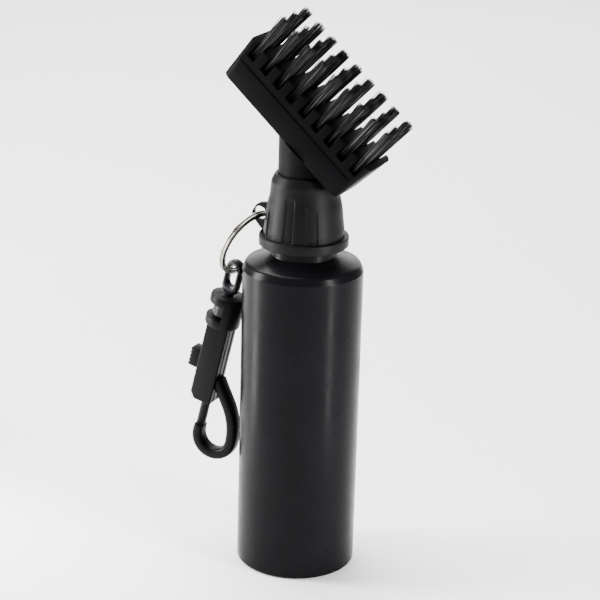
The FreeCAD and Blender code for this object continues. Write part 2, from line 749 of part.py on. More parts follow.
def add_hook_bend(body):
    """A slanted arm from the bar's spine and a round bend that comes up under the bolt."""
    path = new_sketch(body, "bend_path", "XZ_Plane")
    bend = size("hook_bend_radius")
    arm = size("hook_arm_radius")
    run = size("hook_arm_run")
    angle = math.radians(size("hook_arm_angle"))
    tip = Vector(size("bolt_x"), size("hook_tip_z"), 0)
    bend_start = Vector(size("bolt_x"), size("hook_bend_z"), 0)
    middle = bend_start + Vector(bend, 0, 0)
    bulge = bend_start + Vector(2 * bend, 0, 0)
    arm_middle = bulge - Vector(arm, 0, 0)
    arm_top = arm_middle + Vector(arm * math.cos(angle), arm * math.sin(angle), 0)
    root = arm_top + Vector(-run * math.sin(angle), run * math.cos(angle), 0)
    axis = Vector(0, 0, 1)
    sketch_parts = (
        Part.LineSegment(root, arm_top),
        Part.ArcOfCircle(Part.Circle(arm_middle, axis, arm), 0.0, angle),
        Part.ArcOfCircle(Part.Circle(middle, axis, bend), math.pi, 2 * math.pi),
        Part.LineSegment(tip, bend_start),
    )
    for piece in sketch_parts:
        sketch_index = path.addGeometry(piece, False)
        path.addConstraint(Sketcher.Constraint("Block", sketch_index))
    section = new_sketch(body, "bend_section", "XY_Plane", lift="Sizes.hook_tip_z")
    left = "Sizes.bolt_x - Sizes.hook_section_width / 2"
    right = "Sizes.bolt_x + Sizes.hook_section_width / 2"
    back = "Sizes.hook_section_thickness / 2"
    nick = "Sizes.hook_section_corner"
    add_polygon(section, (
        (f"{left} + {nick}", f"-{back}"),
        (f"{right} - {nick}", f"-{back}"),
        (right, f"-{back} + {nick}"),
        (right, f"{back} - {nick}"),
        (f"{right} - {nick}", back),
        (f"{left} + {nick}", back),
        (left, f"{back} - {nick}"),
        (left, f"-{back} + {nick}"),
    ))
    pipe = body.newObject("PartDesign::AdditivePipe", "hook_bend")
    pipe.Profile = section
    pipe.Spine = (path, ["Edge4", "Edge3", "Edge2", "Edge1"])
    doc.recompute()


def cut_window(body):
    """The collar's window, open towards -Y, and the stud's hole through its top."""
    window = new_sketch(body, "window", "XY_Plane", lift="Sizes.window_bottom")
    add_polygon(window, rectangle("Sizes.window_outer_x", "Sizes.window_inner_x",
                                  "-Sizes.hook_collar_radius - 1", "Sizes.window_back_y"))
    pocket(body, window, "Sizes.window_top - Sizes.window_bottom", reverse=True)
    room = new_sketch(body, "flange_room", "XY_Plane", lift="Sizes.window_bottom")
    add_circle(room, "0", "0", "Sizes.stud_flange_radius + 0.3")
    pocket(body, room, "Sizes.window_top - Sizes.window_bottom", reverse=True)
    hole = new_sketch(body, "stud_hole", "XY_Plane", lift="Sizes.window_top - 1")
    add_circle(hole, "0", "0", "Sizes.stud_radius + 0.08")
    pocket(body, hole, "6", reverse=True)


def cut_bolt_way(body):
    """The bolt's bore, the slot for the thumb knob's neck and the groove down the spine."""
    bore = new_sketch(body, "bolt_bore", "XY_Plane", lift="Sizes.bar_bottom - 0.5")
    add_circle(bore, "Sizes.bolt_x", "0", "Sizes.bolt_bore_radius")
    pocket(body, bore, "Sizes.bolt_bore_top - Sizes.bar_bottom + 0.5", reverse=True)
    reach = "Sizes.knob_neck_radius + Sizes.knob_slot_clearance"
    slot = new_sketch(body, "knob_slot", "XY_Plane", lift=f"Sizes.knob_z - ({reach})")
    add_polygon(slot, rectangle("Sizes.bar_outer_x - 1", "Sizes.bolt_x", f"-({reach})", reach))
    pocket(body, slot, f"Sizes.bolt_travel + 2 * ({reach})", reverse=True)
    groove = new_sketch(body, "spine_groove", "XY_Plane", lift="Sizes.bar_bottom + 13")
    add_polygon(groove, rectangle("Sizes.bar_spine_x - Sizes.spine_groove_depth", "Sizes.bar_spine_x + 1",
                                  "-Sizes.spine_groove_width / 2", "Sizes.spine_groove_width / 2"))
    pocket(body, groove, "Sizes.hook_collar_bottom - Sizes.bar_bottom - 13.5", reverse=True)


# ---------------------------------------------------------------- snap hook: bolt, thumb knob and spring
def make_bolt():
    body = new_body("gate_bolt", hook_placement())
    rod = new_sketch(body, "bolt_rod", "XY_Plane", lift="Sizes.bolt_tip")
    add_circle(rod, "Sizes.bolt_x", "0", "Sizes.bolt_radius")
    extrude(body, rod, "Sizes.bolt_top - Sizes.bolt_tip")
    fillet(body, "0.4", lambda edge: isinstance(edge.Curve, Part.Circle) and edge.CenterOfMass.z < -50)
    cross_hole = new_sketch(body, "bolt_cross_hole", "YZ_Plane")
    add_circle(cross_hole, "0", "Sizes.knob_z", "Sizes.knob_neck_radius")
    pocket(body, cross_hole, "(Sizes.bolt_radius + Sizes.bolt_x) * 2 + 1", midplane=True)
    return body


def make_knob():
    """A ridged pad on a neck that is pressed through the bolt's cross hole."""
    body = new_body("thumb_knob", hook_placement())
    neck = new_sketch(body, "knob_neck", "YZ_Plane", lift="Sizes.knob_pad_inner_x - 0.2")
    add_circle(neck, "0", "Sizes.knob_z", "Sizes.knob_neck_radius")
    extrude(body, neck, "Sizes.bolt_x + Sizes.bolt_radius - 0.3 - Sizes.knob_pad_inner_x + 0.2")
    pad = new_sketch(body, "knob_pad", "YZ_Plane", lift="Sizes.knob_pad_outer_x")
    add_polygon(pad, rectangle("-Sizes.knob_width / 2", "Sizes.knob_width / 2",
                               "Sizes.knob_z - Sizes.knob_length / 2", "Sizes.knob_z + Sizes.knob_length / 2"))
    extrude(body, pad, "Sizes.knob_pad_inner_x - Sizes.knob_pad_outer_x")
    fillet(body, "0.9", lambda edge: is_pad_corner(edge))
    ridge_step = 1.5
    for ridge in (-1.5, -0.5, 0.5, 1.5):
        gap = new_sketch(body, f"knob_gap_{int(ridge * 2 + 3)}", "XZ_Plane")
        middle = f"Sizes.knob_z + {ridge * ridge_step}"
        add_polygon(gap, (
            ("Sizes.knob_pad_outer_x - 0.1", f"{middle} - 0.45"),
            ("Sizes.knob_pad_outer_x + 0.45", middle),
            ("Sizes.knob_pad_outer_x - 0.1", f"{middle} + 0.45"),
        ))
        pocket(body, gap, "Sizes.knob_width * 2", midplane=True)
    return body


def is_pad_corner(edge):
    """True for the pad's four short edges along the body's x axis."""
    depth = size("knob_pad_inner_x") - size("knob_pad_outer_x")
    if not isinstance(edge.Curve, Part.Line) or abs(edge.Length - depth) > 1e-3:
        return False
    return abs(abs(edge.CenterOfMass.y) - size("knob_width") / 2) < 1e-3


def make_spring():
    """A compression spring between the bolt's top and the end of its bore."""
    beside = Placement(Vector(size("bolt_x"), 0, 0), Rotation())
    body = new_body("bolt_spring", hook_placement().multiply(beside))
    wire = new_sketch(body, "spring_wire", "XZ_Plane")
    add_circle(wire, "Sizes.coil_radius", "Sizes.bolt_top + Sizes.coil_wire_radius + 0.02",
               "Sizes.coil_wire_radius")
    run = "(Sizes.bolt_bore_top - Sizes.bolt_top - 2 * Sizes.coil_wire_radius - 0.04)"
    helix(body, wire, f"{run} / Sizes.coil_turns", "Sizes.coil_turns")
    return body


# ---------------------------------------------------------------- build, test and write
def check_document():
    """Stops if any object failed, or if a sub-part has no sound shape."""
    for thing in doc.Objects:
        if "Invalid" in thing.State or "Error" in thing.State:
            raise RuntimeError(f"{thing.Label} failed: {thing.State}")
    for node in nodes:
        if node.Shape.isNull() or not node.Shape.isValid() or not node.Shape.Solids:
            raise RuntimeError(f"{node.Label} has no valid solid")


def main():
    make_bottle()
    make_washer()
    make_cap()
    make_stem()
    make_block()
    for row in range(ROWS):
        for column in range(-1, TUFTS_PER_ROW - 1):
            make_tuft(row, column)
    make_anchors()
    make_ring()
    make_eye()
    make_hook()
    make_bolt()
    make_knob()
    make_spring()
    doc.recompute()
    check_document()
    os.makedirs("parts", exist_ok=True)
    for node in nodes:
        node.Shape.exportStep(f"parts/{node.Label}.step")
        print(f"{node.Label}: {len(node.Shape.Solids)} solid(s), {node.Shape.Volume:.1f} mm3")


main()
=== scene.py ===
"""The visible model of a club groove brush with a squeeze bottle, around its CAD frame."""
import math
import random

import bmesh
import bpy
from mathutils import Matrix, Vector


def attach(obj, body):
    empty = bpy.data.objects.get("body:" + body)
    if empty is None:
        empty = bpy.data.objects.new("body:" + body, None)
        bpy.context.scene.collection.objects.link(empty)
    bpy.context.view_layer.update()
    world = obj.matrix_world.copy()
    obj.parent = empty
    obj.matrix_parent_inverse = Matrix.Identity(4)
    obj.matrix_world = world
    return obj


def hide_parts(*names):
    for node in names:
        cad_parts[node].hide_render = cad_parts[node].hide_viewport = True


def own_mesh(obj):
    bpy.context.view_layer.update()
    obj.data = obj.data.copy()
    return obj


MM = 0.001
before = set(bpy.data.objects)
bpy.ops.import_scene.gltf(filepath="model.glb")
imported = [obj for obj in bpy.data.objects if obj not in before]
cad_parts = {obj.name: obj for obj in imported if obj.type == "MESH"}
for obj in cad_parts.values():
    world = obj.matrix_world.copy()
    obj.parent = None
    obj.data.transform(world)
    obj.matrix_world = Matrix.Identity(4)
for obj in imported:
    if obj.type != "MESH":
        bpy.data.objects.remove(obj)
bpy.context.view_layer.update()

# ---------------------------------------------------------------- frames of the tilted parts, in millimetres
HEAD_TILT = math.radians(48.2)
HEAD_X = -5.3
HEAD_Z = 150.0
HEAD = Matrix.Translation((HEAD_X, 0, HEAD_Z)) @ Matrix.Rotation(math.pi / 2 - HEAD_TILT, 4, "Y")
RING_TOP = Vector((-15.6, 0, 120.3))
RING_BOTTOM = Vector((-25.0, 0, 99.0))
HOOK = Matrix.Translation(RING_BOTTOM) @ Matrix.Rotation(math.radians(13.2), 4, "Y")
EYE_TURN = math.radians(-13.0)
RING_TWIST = math.radians(14.0)
BOLT_X = 1.3


def ring_matrix():
    down = (RING_BOTTOM - RING_TOP).normalized()
    across = Vector((0, 1, 0))
    level = Matrix((down, across, down.cross(across))).transposed().to_4x4()
    middle = (RING_TOP + RING_BOTTOM) / 2
    return Matrix.Translation(middle) @ Matrix.Rotation(RING_TWIST, 4, down) @ level


RING = ring_matrix()
RING_RADIUS = (RING_BOTTOM - RING_TOP).length / 2


# ---------------------------------------------------------------- mesh helpers
class Shell:
    """Collects closed surfaces, in millimetres, into one mesh."""

    def __init__(self):
        self.verts = []
        self.faces = []

    def add(self, verts, faces, matrix=None):
        start = len(self.verts)
        for v in verts:
            p = Vector(v)
            self.verts.append(matrix @ p if matrix else p)
        self.faces.extend([[start + k for k in face] for face in faces])


def make_mesh(name, verts, faces, sharp=35.0):
    mesh = bpy.data.meshes.new(name)
    mesh.from_pydata([tuple(v) for v in verts], [], faces)
    mesh.validate()
    tidy = bmesh.new()
    tidy.from_mesh(mesh)
    bmesh.ops.recalc_face_normals(tidy, faces=tidy.faces)
    tidy.to_mesh(mesh)
    tidy.free()
    mesh.shade_smooth()
    mesh.set_sharp_from_angle(angle=math.radians(sharp))
    return mesh


def piece(name, shell, body, material, replaced, sharp=35.0):
    """One visible piece of the object: it rides on a CAD body and stands for CAD nodes."""
    verts = [v * MM for v in shell.verts]
    mesh = make_mesh(name, verts, shell.faces, sharp)
    mesh.materials.append(material)
    obj = bpy.data.objects.new(name, mesh)
    bpy.context.scene.collection.objects.link(obj)
    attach(obj, body)
    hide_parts(*replaced)
    return obj


def rounded(points, steps):
    """Replaces each corner (x, y, radius) of a closed outline by an arc."""
    line = []
    count = len(points)
    for k, (x, y, radius) in enumerate(points):
        here = Vector((x, y))
        if radius <= 0:
            line.append((x, y))
            continue
        before = Vector(points[k - 1][:2]) - here
        after = Vector(points[(k + 1) % count][:2]) - here
        half = before.angle(after) / 2
        reach = min(radius / math.tan(half), before.length * 0.49, after.length * 0.49)
        radius = reach * math.tan(half)
        start = here + before.normalized() * reach
        end = here + after.normalized() * reach
        centre = here + (before.normalized() + after.normalized()).normalized() * (radius / math.sin(half))
        first = start - centre
        last = end - centre
        arc = first.angle_signed(last)
        for step in range(steps + 1):
            turn = Matrix.Rotation(-arc * step / steps, 2)
            spot = centre + turn @ first
            line.append((spot.x, spot.y))
    return line


def loop_faces(rows, columns, close_rows=False):
    """Four-sided faces over a grid of points whose columns close on themselves."""
    faces = []
    for i in range(rows if close_rows else rows - 1):
        for j in range(columns):
            a = i * columns + j
            b = i * columns + (j + 1) % columns
            c = ((i + 1) % rows) * columns + (j + 1) % columns
            d = ((i + 1) % rows) * columns + j
            faces.append([a, b, c, d])
    return faces


def lathe(profile, segments, reshape=None):
    """Turns a closed (radius, height) outline that keeps clear of the z axis about that axis."""
    verts = []
    for k in range(segments):
        angle = 2 * math.pi * k / segments
        for radius, height in profile:
            r = reshape(angle, radius, height) if reshape else radius
            verts.append((r * math.cos(angle), r * math.sin(angle), height))
    return verts, loop_faces(segments, len(profile), close_rows=True)


def solid_lathe(profile, segments):
    """Turns an open (radius, height) line and closes both of its ends with flat discs."""
    verts = []
    for radius, height in profile:
        for k in range(segments):
            angle = 2 * math.pi * k / segments
            verts.append((radius * math.cos(angle), radius * math.sin(angle), height))
    faces = loop_faces(len(profile), segments)
    faces.append(list(range(segments)))
    faces.append([(len(profile) - 1) * segments + k for k in range(segments)])
    return verts, faces


def sweep(path, normals, sections):
    """Carries a section, a list of (across, up) points per path point, along a path."""
    verts = []
    count = len(path)
    for k in range(count):
        ahead = path[min(k + 1, count - 1)]
        behind = path[max(k - 1, 0)]
        tangent = (ahead - behind).normalized()
        up = (normals[k] - tangent * normals[k].dot(tangent)).normalized()
        across = tangent.cross(up)
        verts.extend(path[k] + across * a + up * b for a, b in sections[k])
    size = len(sections[0])
    faces = loop_faces(count, size)
    faces.append(list(range(size)))
    faces.append([(count - 1) * size + k for k in range(size)])
    return verts, faces


def superellipse(width, height, power, count):
    """A rounded box section."""
    points = []
    for k in range(count):
        angle = 2 * math.pi * k / count
        c, s = math.cos(angle), math.sin(angle)
        points.append((math.copysign(abs(c) ** (2 / power), c) * width / 2,
                       math.copysign(abs(s) ** (2 / power), s) * height / 2))
    return points


def plate_loop(outer, inner, thickness, power, count):
    """A flat ring in the XZ plane between two outlines with as many points, with rounded edges."""
    verts = []
    for (ox, oz), (ix, iz) in zip(outer, inner):
        for across, y in superellipse(1.0, thickness, power, count):
            share = 0.5 + across
            verts.append((ix + (ox - ix) * share, y, iz + (oz - iz) * share))
    return verts, loop_faces(len(outer), count, close_rows=True)


def extruded(outline, half_width):
    """A prism of an XZ outline between -half_width and half_width along Y."""
    count = len(outline)
    verts = [(x, -half_width, z) for x, z in outline] + [(x, half_width, z) for x, z in outline]
    faces = [[k, (k + 1) % count, count + (k + 1) % count, count + k] for k in range(count)]
    faces.append(list(range(count)))
    faces.append([count + k for k in range(count)])
    return verts, faces


def box_mesh(x, y, z):
    """A box between three pairs of limits; the pair of y has to lie evenly about 0."""
    return extruded([(x[0], z[0]), (x[1], z[0]), (x[1], z[1]), (x[0], z[1])], (y[1] - y[0]) / 2)


def worked(verts, faces, cutters=(), bevel=0.0, segments=3, limit=35.0):
    """A mesh after boolean cuts and an edge bevel, as (verts, faces)."""
    base = bpy.data.objects.new("work", make_mesh("work", verts, faces))
    bpy.context.scene.collection.objects.link(base)
    helpers = []
    for cut_verts, cut_faces in cutters:
        tool = bpy.data.objects.new("tool", make_mesh("tool", cut_verts, cut_faces))
        bpy.context.scene.collection.objects.link(tool)
        helpers.append(tool)
        change = base.modifiers.new("cut", "BOOLEAN")
        change.operation = "DIFFERENCE"
        change.solver = "EXACT"
        change.object = tool
    if bevel:
        edge = base.modifiers.new("edge", "BEVEL")
        edge.width = bevel
        edge.segments = segments
        edge.limit_method = "ANGLE"
        edge.angle_limit = math.radians(limit)
        edge.use_clamp_overlap = True
    bpy.context.view_layer.update()
    result = base.evaluated_get(bpy.context.evaluated_depsgraph_get()).to_mesh()
    out = [v.co.copy() for v in result.vertices], [list(p.vertices) for p in result.polygons]
    for thing in [base] + helpers:
        mesh = thing.data
        bpy.data.objects.remove(thing)
        bpy.data.meshes.remove(mesh)
    return out


def shifted(solid, by):
    """The same (verts, faces), moved."""
    return [Vector(v) + Vector(by) for v in solid[0]], solid[1]


def cylinder(radius, low, high, segments):
    return solid_lathe([(radius, low), (radius, high)], segments)


# ---------------------------------------------------------------- materials
def new_material(name):
    material = bpy.data.materials.new(name)
    material.use_nodes = True
    nodes = material.node_tree.nodes
    return material, nodes, material.node_tree.links, nodes["Principled BSDF"]


def add_noise(nodes, links, scale, detail, stretch=None):
    place = nodes.new("ShaderNodeTexCoord")
    noise = nodes.new("ShaderNodeTexNoise")
    noise.inputs["Scale"].default_value = scale
    noise.inputs["Detail"].default_value = detail
    if stretch:
        mapping = nodes.new("ShaderNodeMapping")
        mapping.inputs["Scale"].default_value = stretch
        links.new(place.outputs["Object"], mapping.inputs["Vector"])
        links.new(mapping.outputs["Vector"], noise.inputs["Vector"])
    else:
        links.new(place.outputs["Object"], noise.inputs["Vector"])
    return noise.outputs["Fac"]


def ramp(nodes, links, source, low, high, start=0.3, end=0.7):
    blend = nodes.new("ShaderNodeValToRGB")
    blend.color_ramp.elements[0].position = start
    blend.color_ramp.elements[1].position = end
    blend.color_ramp.elements[0].color = (*low, 1)
    blend.color_ramp.elements[1].color = (*high, 1)
    links.new(source, blend.inputs["Fac"])
    return blend.outputs["Color"]


def span(nodes, links, source, low, high):
    scale = nodes.new("ShaderNodeMapRange")
    scale.inputs["From Min"].default_value = 0.3
    scale.inputs["From Max"].default_value = 0.7
    scale.inputs["To Min"].default_value = low
    scale.inputs["To Max"].default_value = high
    links.new(source, scale.inputs["Value"])
    return scale.outputs["Result"]


def add_bump(nodes, links, shader, source, strength, distance, below=None):
    bump = nodes.new("ShaderNodeBump")
    bump.inputs["Strength"].default_value = strength
    bump.inputs["Distance"].default_value = distance
    links.new(source, bump.inputs["Height"])
    if below:
        links.new(below, bump.inputs["Normal"])
    links.new(bump.outputs["Normal"], shader.inputs["Normal"])
    return bump.outputs["Normal"]


def plastic(name, dark, light, rough, gloss, grain, grain_strength, scratches=0.0):
    """Moulded black plastic: faint mottling, a fine moulded grain and, on worn parts, fine scratches."""
    material, nodes, links, shader = new_material(name)
    mottle = add_noise(nodes, links, 45.0, 6.0)
    links.new(ramp(nodes, links, mottle, dark, light), shader.inputs["Base Color"])
    smudge = add_noise(nodes, links, 120.0, 5.0)
    links.new(span(nodes, links, smudge, rough - 0.05, rough + 0.06), shader.inputs["Roughness"])
    shader.inputs["Specular IOR Level"].default_value = gloss
    grain_noise = add_noise(nodes, links, grain, 3.0)
    normal = add_bump(nodes, links, shader, grain_noise, grain_strength, 0.00006)
    if scratches:
        lines = add_noise(nodes, links, 160.0, 2.0, stretch=(9.0, 9.0, 0.5))
        marks = span(nodes, links, lines, 0.0, 1.0)
        add_bump(nodes, links, shader, marks, scratches, 0.00003, normal)
    return material


def metal(name, dark, light, rough):
    """Plated or drawn metal with a slightly uneven tone and shine."""
    material, nodes, links, shader = new_material(name)
    tone = add_noise(nodes, links, 300.0, 5.0)
    links.new(ramp(nodes, links, tone, dark, light), shader.inputs["Base Color"])
    shader.inputs["Metallic"].default_value = 1.0
    wear = add_noise(nodes, links, 500.0, 4.0)
    links.new(span(nodes, links, wear, rough - 0.04, rough + 0.08), shader.inputs["Roughness"])
    fine = add_noise(nodes, links, 1500.0, 2.0)
    add_bump(nodes, links, shader, fine, 0.15, 0.00004)
    return material


BOTTLE_BLACK = plastic("bottle_black", (0.0024, 0.0025, 0.0029), (0.0038, 0.0039, 0.0045), 0.26, 0.045,
                       700.0, 0.12, 0.10)
CAP_BLACK = plastic("cap_black", (0.0030, 0.0030, 0.0034), (0.005, 0.005, 0.0055), 0.44, 0.055,
                    1100.0, 0.3)
HEAD_BLACK = plastic("head_black", (0.0013, 0.0013, 0.0016), (0.003, 0.003, 0.0035), 0.5, 0.022,
                     1200.0, 0.35)
WASHER_RUBBER = plastic("washer_rubber", (0.02, 0.02, 0.02), (0.04, 0.04, 0.04), 0.7, 0.3, 900.0, 0.5)
HOOK_BLACK = plastic("hook_black", (0.003, 0.003, 0.0034), (0.0042, 0.0042, 0.0047), 0.38, 0.045,
                     600.0, 0.3, 0.1)
EYE_BLACK = plastic("eye_black", (0.004, 0.004, 0.005), (0.008, 0.008, 0.010), 0.25, 0.11,
                    600.0, 0.2, 0.1)
NICKEL = metal("nickel", (0.20, 0.185, 0.165), (0.34, 0.32, 0.29), 0.24)
SPRING_STEEL = metal("spring_steel", (0.45, 0.45, 0.45), (0.6, 0.6, 0.6), 0.28)
BRASS = metal("anchor_brass", (0.55, 0.42, 0.2), (0.7, 0.56, 0.3), 0.3)


def bristle_material(name, lean):
    """Black nylon with painted highlight streaks, pale colour standing in for the shine of lit filaments,
    that run along the filaments of a tuft with this lean.
    """
    material, nodes, links, shader = new_material(name)
    place = nodes.new("ShaderNodeTexCoord")
    along = nodes.new("ShaderNodeMapping")
    along.inputs["Rotation"].default_value = (0, -(math.pi / 2 - HEAD_TILT), 0)
    upright = nodes.new("ShaderNodeMapping")
    upright.inputs["Rotation"].default_value = (lean, 0, 0)
    painted_streak_frame = nodes.new("ShaderNodeMapping")
    painted_streak_frame.inputs["Scale"].default_value = (2000.0, 2000.0, 22.0)
    painted_streak = nodes.new("ShaderNodeTexNoise")
    painted_streak.inputs["Scale"].default_value = 1.0
    painted_streak.inputs["Detail"].default_value = 2.0
    links.new(place.outputs["Object"], along.inputs["Vector"])
    links.new(along.outputs["Vector"], upright.inputs["Vector"])
    links.new(upright.outputs["Vector"], painted_streak_frame.inputs["Vector"])
    links.new(painted_streak_frame.outputs["Vector"], painted_streak.inputs["Vector"])
    # Painted highlights: the pale end of this ramp paints the shine of lit filaments into the colour as
    # streaks.
    links.new(ramp(nodes, links, painted_streak.outputs["Fac"], (0.0020, 0.0020, 0.0023), (0.13, 0.13, 0.135),
                   0.54, 0.74), shader.inputs["Base Color"])
    shader.inputs["Specular IOR Level"].default_value = 0.12
    rough = add_noise(nodes, links, 400.0, 2.0)
    links.new(span(nodes, links, rough, 0.32, 0.5), shader.inputs["Roughness"])
    fine = add_noise(nodes, links, 2500.0, 2.0)
    add_bump(nodes, links, shader, fine, 0.2, 0.00003)
    return material


SPLAY = math.radians(9.0)
BRISTLES = [bristle_material("bristle_" + side, lean * SPLAY)
            for side, lean in (("near", -1), ("middle", 0), ("far", 1))]


# ---------------------------------------------------------------- screw thread, for the neck and the cap
THREAD_PITCH = 3.175
THREAD_TURNS = 1.5
THREAD_DEPTH = 1.0
THREAD_START = 116.4
THREAD_FOOT = 1.7
THREAD_CREST = 0.8
THREAD_ROOT = 0.15


def thread(radius, side, start):
    """A trapezoid ridge on a wall, tapering to nothing over an eighth of a turn at each end."""
    steps = 96
    verts = []
    for k in range(steps + 1):
        share = k / steps
        angle = 2 * math.pi * THREAD_TURNS * share
        grow = min(1.0, share * THREAD_TURNS * 8, (1 - share) * THREAD_TURNS * 8)
        height = start + THREAD_PITCH * THREAD_TURNS * share
        crest = THREAD_DEPTH * grow
        for r, dz in ((-THREAD_ROOT, -THREAD_FOOT / 2), (crest, -THREAD_CREST / 2),
                      (crest, THREAD_CREST / 2), (-THREAD_ROOT, THREAD_FOOT / 2)):
            spot = radius + side * r
            verts.append((spot * math.cos(angle), spot * math.sin(angle), height + dz))
    faces = loop_faces(steps + 1, 4)
    faces.append([0, 1, 2, 3])
    faces.append([steps * 4 + k for k in range(4)])
    return verts, faces


# ---------------------------------------------------------------- bottle
BODY_RADIUS = 20.0
INNER_RADIUS = 18.7
BASE_THICKNESS = 1.8
FOOT_RECESS = 0.55
CREASE_HEIGHT = 104.2
SHOULDER_TOP = 109.3
BEAD_RADIUS = 11.0
BEAD_TOP = 112.0
NECK_RADIUS = 9.85
NECK_BORE = 8.2
NECK_TOP = 127.0
# The base is turned from this radius outwards; the hole left on the axis is too fine to see.
AXIS_GAP = 0.001


def build_bottle():
    outside = [
        (AXIS_GAP, FOOT_RECESS, 0), (14.6, FOOT_RECESS, 0.4), (15.6, 0.0, 0.4), (BODY_RADIUS, 0.0, 1.2),
        (BODY_RADIUS, CREASE_HEIGHT, 0.4), (18.9, 106.6, 2.0), (BEAD_RADIUS, SHOULDER_TOP, 0.5),
        (BEAD_RADIUS, BEAD_TOP, 0.35), (NECK_RADIUS, BEAD_TOP, 0), (NECK_RADIUS, NECK_TOP, 0.25),
    ]
    inside = [
        (NECK_BORE, NECK_TOP, 0.25), (NECK_BORE, 108.0, 0.8), (17.6, 105.3, 1.0), (INNER_RADIUS, 103.8, 0.3),
        (INNER_RADIUS, BASE_THICKNESS, 1.0), (AXIS_GAP, BASE_THICKNESS, 0),
    ]
    outline = rounded(outside + inside, 10)
    shell = Shell()
    shell.add(*lathe(outline, 160))
    shell.add(*thread(NECK_RADIUS, 1, THREAD_START))
    piece("bottle_body", shell, "bottle", BOTTLE_BLACK, ["bottle"])


# ---------------------------------------------------------------- screw cap
CAP_BORE = 11.15
RIM_RADIUS = 14.8
RIM_BOTTOM = 112.6
RIM_TOP = 115.9
SKIRT_FOOT = 13.3
CAP_TOP = 136.6
STEM_HOLE = 9.05
POCKET_TOP = 131.3
WASHER_TOP = 128.5
FLANGE_POCKET = 10.3
WASHER_POCKET = 10.6
BORE_TOP = 125.6
EAR_X = -15.9
EAR_HOLE_Z = 120.85
EAR_HOLE_RADIUS = 2.3
EAR_THICKNESS = 2.2
GRIP_DEPTH = 0.42
GRIP_TOP = 131.0
GRIP_MIDDLE = 9.01
GRIP_OUTER = (26.99, 45.01)
SKIRT = ((RIM_TOP, SKIRT_FOOT), (117.9, 13.25), (119.5, 13.05), (121.0, 12.85), (123.4, 12.6), (125.5, 12.35),
         (126.9, 12.12), (127.9, 11.88), (128.8, 11.66), (129.8, 11.48), (131.2, 11.36), (133.2, 11.2))


def grip(angle, radius, height):
    """The cap's radius with its recessed strips, on the near and the far side, under an arched line."""
    off = math.degrees(math.asin(max(-1.0, min(1.0, math.cos(angle)))))
    if not (RIM_TOP + 0.05 < height < GRIP_TOP) or radius < 10.9:
        return radius
    spread = abs(off)
    recessed = spread < GRIP_MIDDLE or GRIP_OUTER[0] < spread < GRIP_OUTER[1]
    if not recessed:
        return radius
    edge = min(abs(spread - 9.0), abs(spread - 27.0) if spread > 20 else 99, abs(45.0 - spread))
    top = GRIP_TOP - 4.8 * (spread / 45.0) ** 1.5
    fall = max(0.0, min(1.0, (top - height) / 3.2)) ** 0.8
    ramp_in = max(0.0, min(1.0, edge / 1.4))
    foot = max(0.0, min(1.0, (height - 116.0) / 0.5))
    return radius - GRIP_DEPTH * fall * ramp_in * foot


def build_cap():
    flank = []
    for (z0, r0), (z1, r1) in zip(SKIRT, SKIRT[1:]):
        steps = max(1, round((z1 - z0) / 0.35))
        flank.extend((r0 + (r1 - r0) * k / steps, z0 + (z1 - z0) * k / steps) for k in range(steps))
    rim = rounded([(CAP_BORE, RIM_BOTTOM, 0.2), (RIM_RADIUS, RIM_BOTTOM, 0.35), (RIM_RADIUS, RIM_TOP, 0.45),
                   (SKIRT_FOOT, RIM_TOP, 0)], 5)
    shoulder = rounded([(11.25, 133.0, 0), (11.05, 134.2, 1.0), (9.9, CAP_TOP, 0.9),
                        (STEM_HOLE, CAP_TOP, 0.2), (STEM_HOLE, POCKET_TOP, 0), (FLANGE_POCKET, POCKET_TOP, 0),
                        (FLANGE_POCKET, WASHER_TOP, 0), (WASHER_POCKET, WASHER_TOP, 0),
                        (WASHER_POCKET, BORE_TOP, 0), (CAP_BORE, BORE_TOP, 0)], 5)
    outline = rim + flank[1:] + shoulder
    shell = Shell()
    shell.add(*lathe(outline, 240, grip))
    shell.add(*thread(CAP_BORE, -1, THREAD_START - THREAD_PITCH / 2))
    shell.add(*ear())
    piece("cap", shell, "head", CAP_BLACK, ["screw_cap"], 28.0)


def ear():
    """The flat ear that carries the ring, as a loop between its outline and its hole."""
    centre = Vector((EAR_X, EAR_HOLE_Z))
    corners = rounded([(-11.6, 115.4, 0), (-11.6, 125.0, 0), (-16.6, 124.3, 2.6), (-19.4, 120.3, 2.8),
                       (-15.0, 115.4, 0.6)], 8)
    outer = []
    inner = []
    for k in range(64):
        angle = 2 * math.pi * k / 64
        ray = Vector((math.cos(angle), math.sin(angle)))
        outer.append(tuple(centre + ray * outline_reach(corners, centre, ray)))
        inner.append(tuple(centre + ray * EAR_HOLE_RADIUS))
    return plate_loop(outer, inner, EAR_THICKNESS, 7.0, 24)


def outline_reach(outline, centre, ray):
    """Distance from a point inside a closed outline to it, along a ray."""
    best = 0.0
    for k, point in enumerate(outline):
        a = Vector(point) - centre
        b = Vector(outline[(k + 1) % len(outline)]) - centre
        side = b - a
        cross = ray.x * side.y - ray.y * side.x
        if abs(cross) < 1e-9:
            continue
        distance = (a.x * side.y - a.y * side.x) / cross
        share = (a.x * ray.y - a.y * ray.x) / cross
        if distance > 0 and -1e-6 <= share <= 1 + 1e-6:
            best = max(best, distance)
    return best


# ---------------------------------------------------------------- stem and washer
STEM_RADIUS = 9.0
FLANGE_RADIUS = 10.2
STEM_BORE = 5.5
STEM_BORE_TOP = 138.0
FEED_RADIUS = 3.2
FEED_TOP = 140.0
WASHER_GAP = 0.02
PLATE_HALF_LENGTH = 23.0
PLATE_HALF_WIDTH = 6.5
PLATE_THICKNESS = 1.6
PLATE_GAP = 0.05


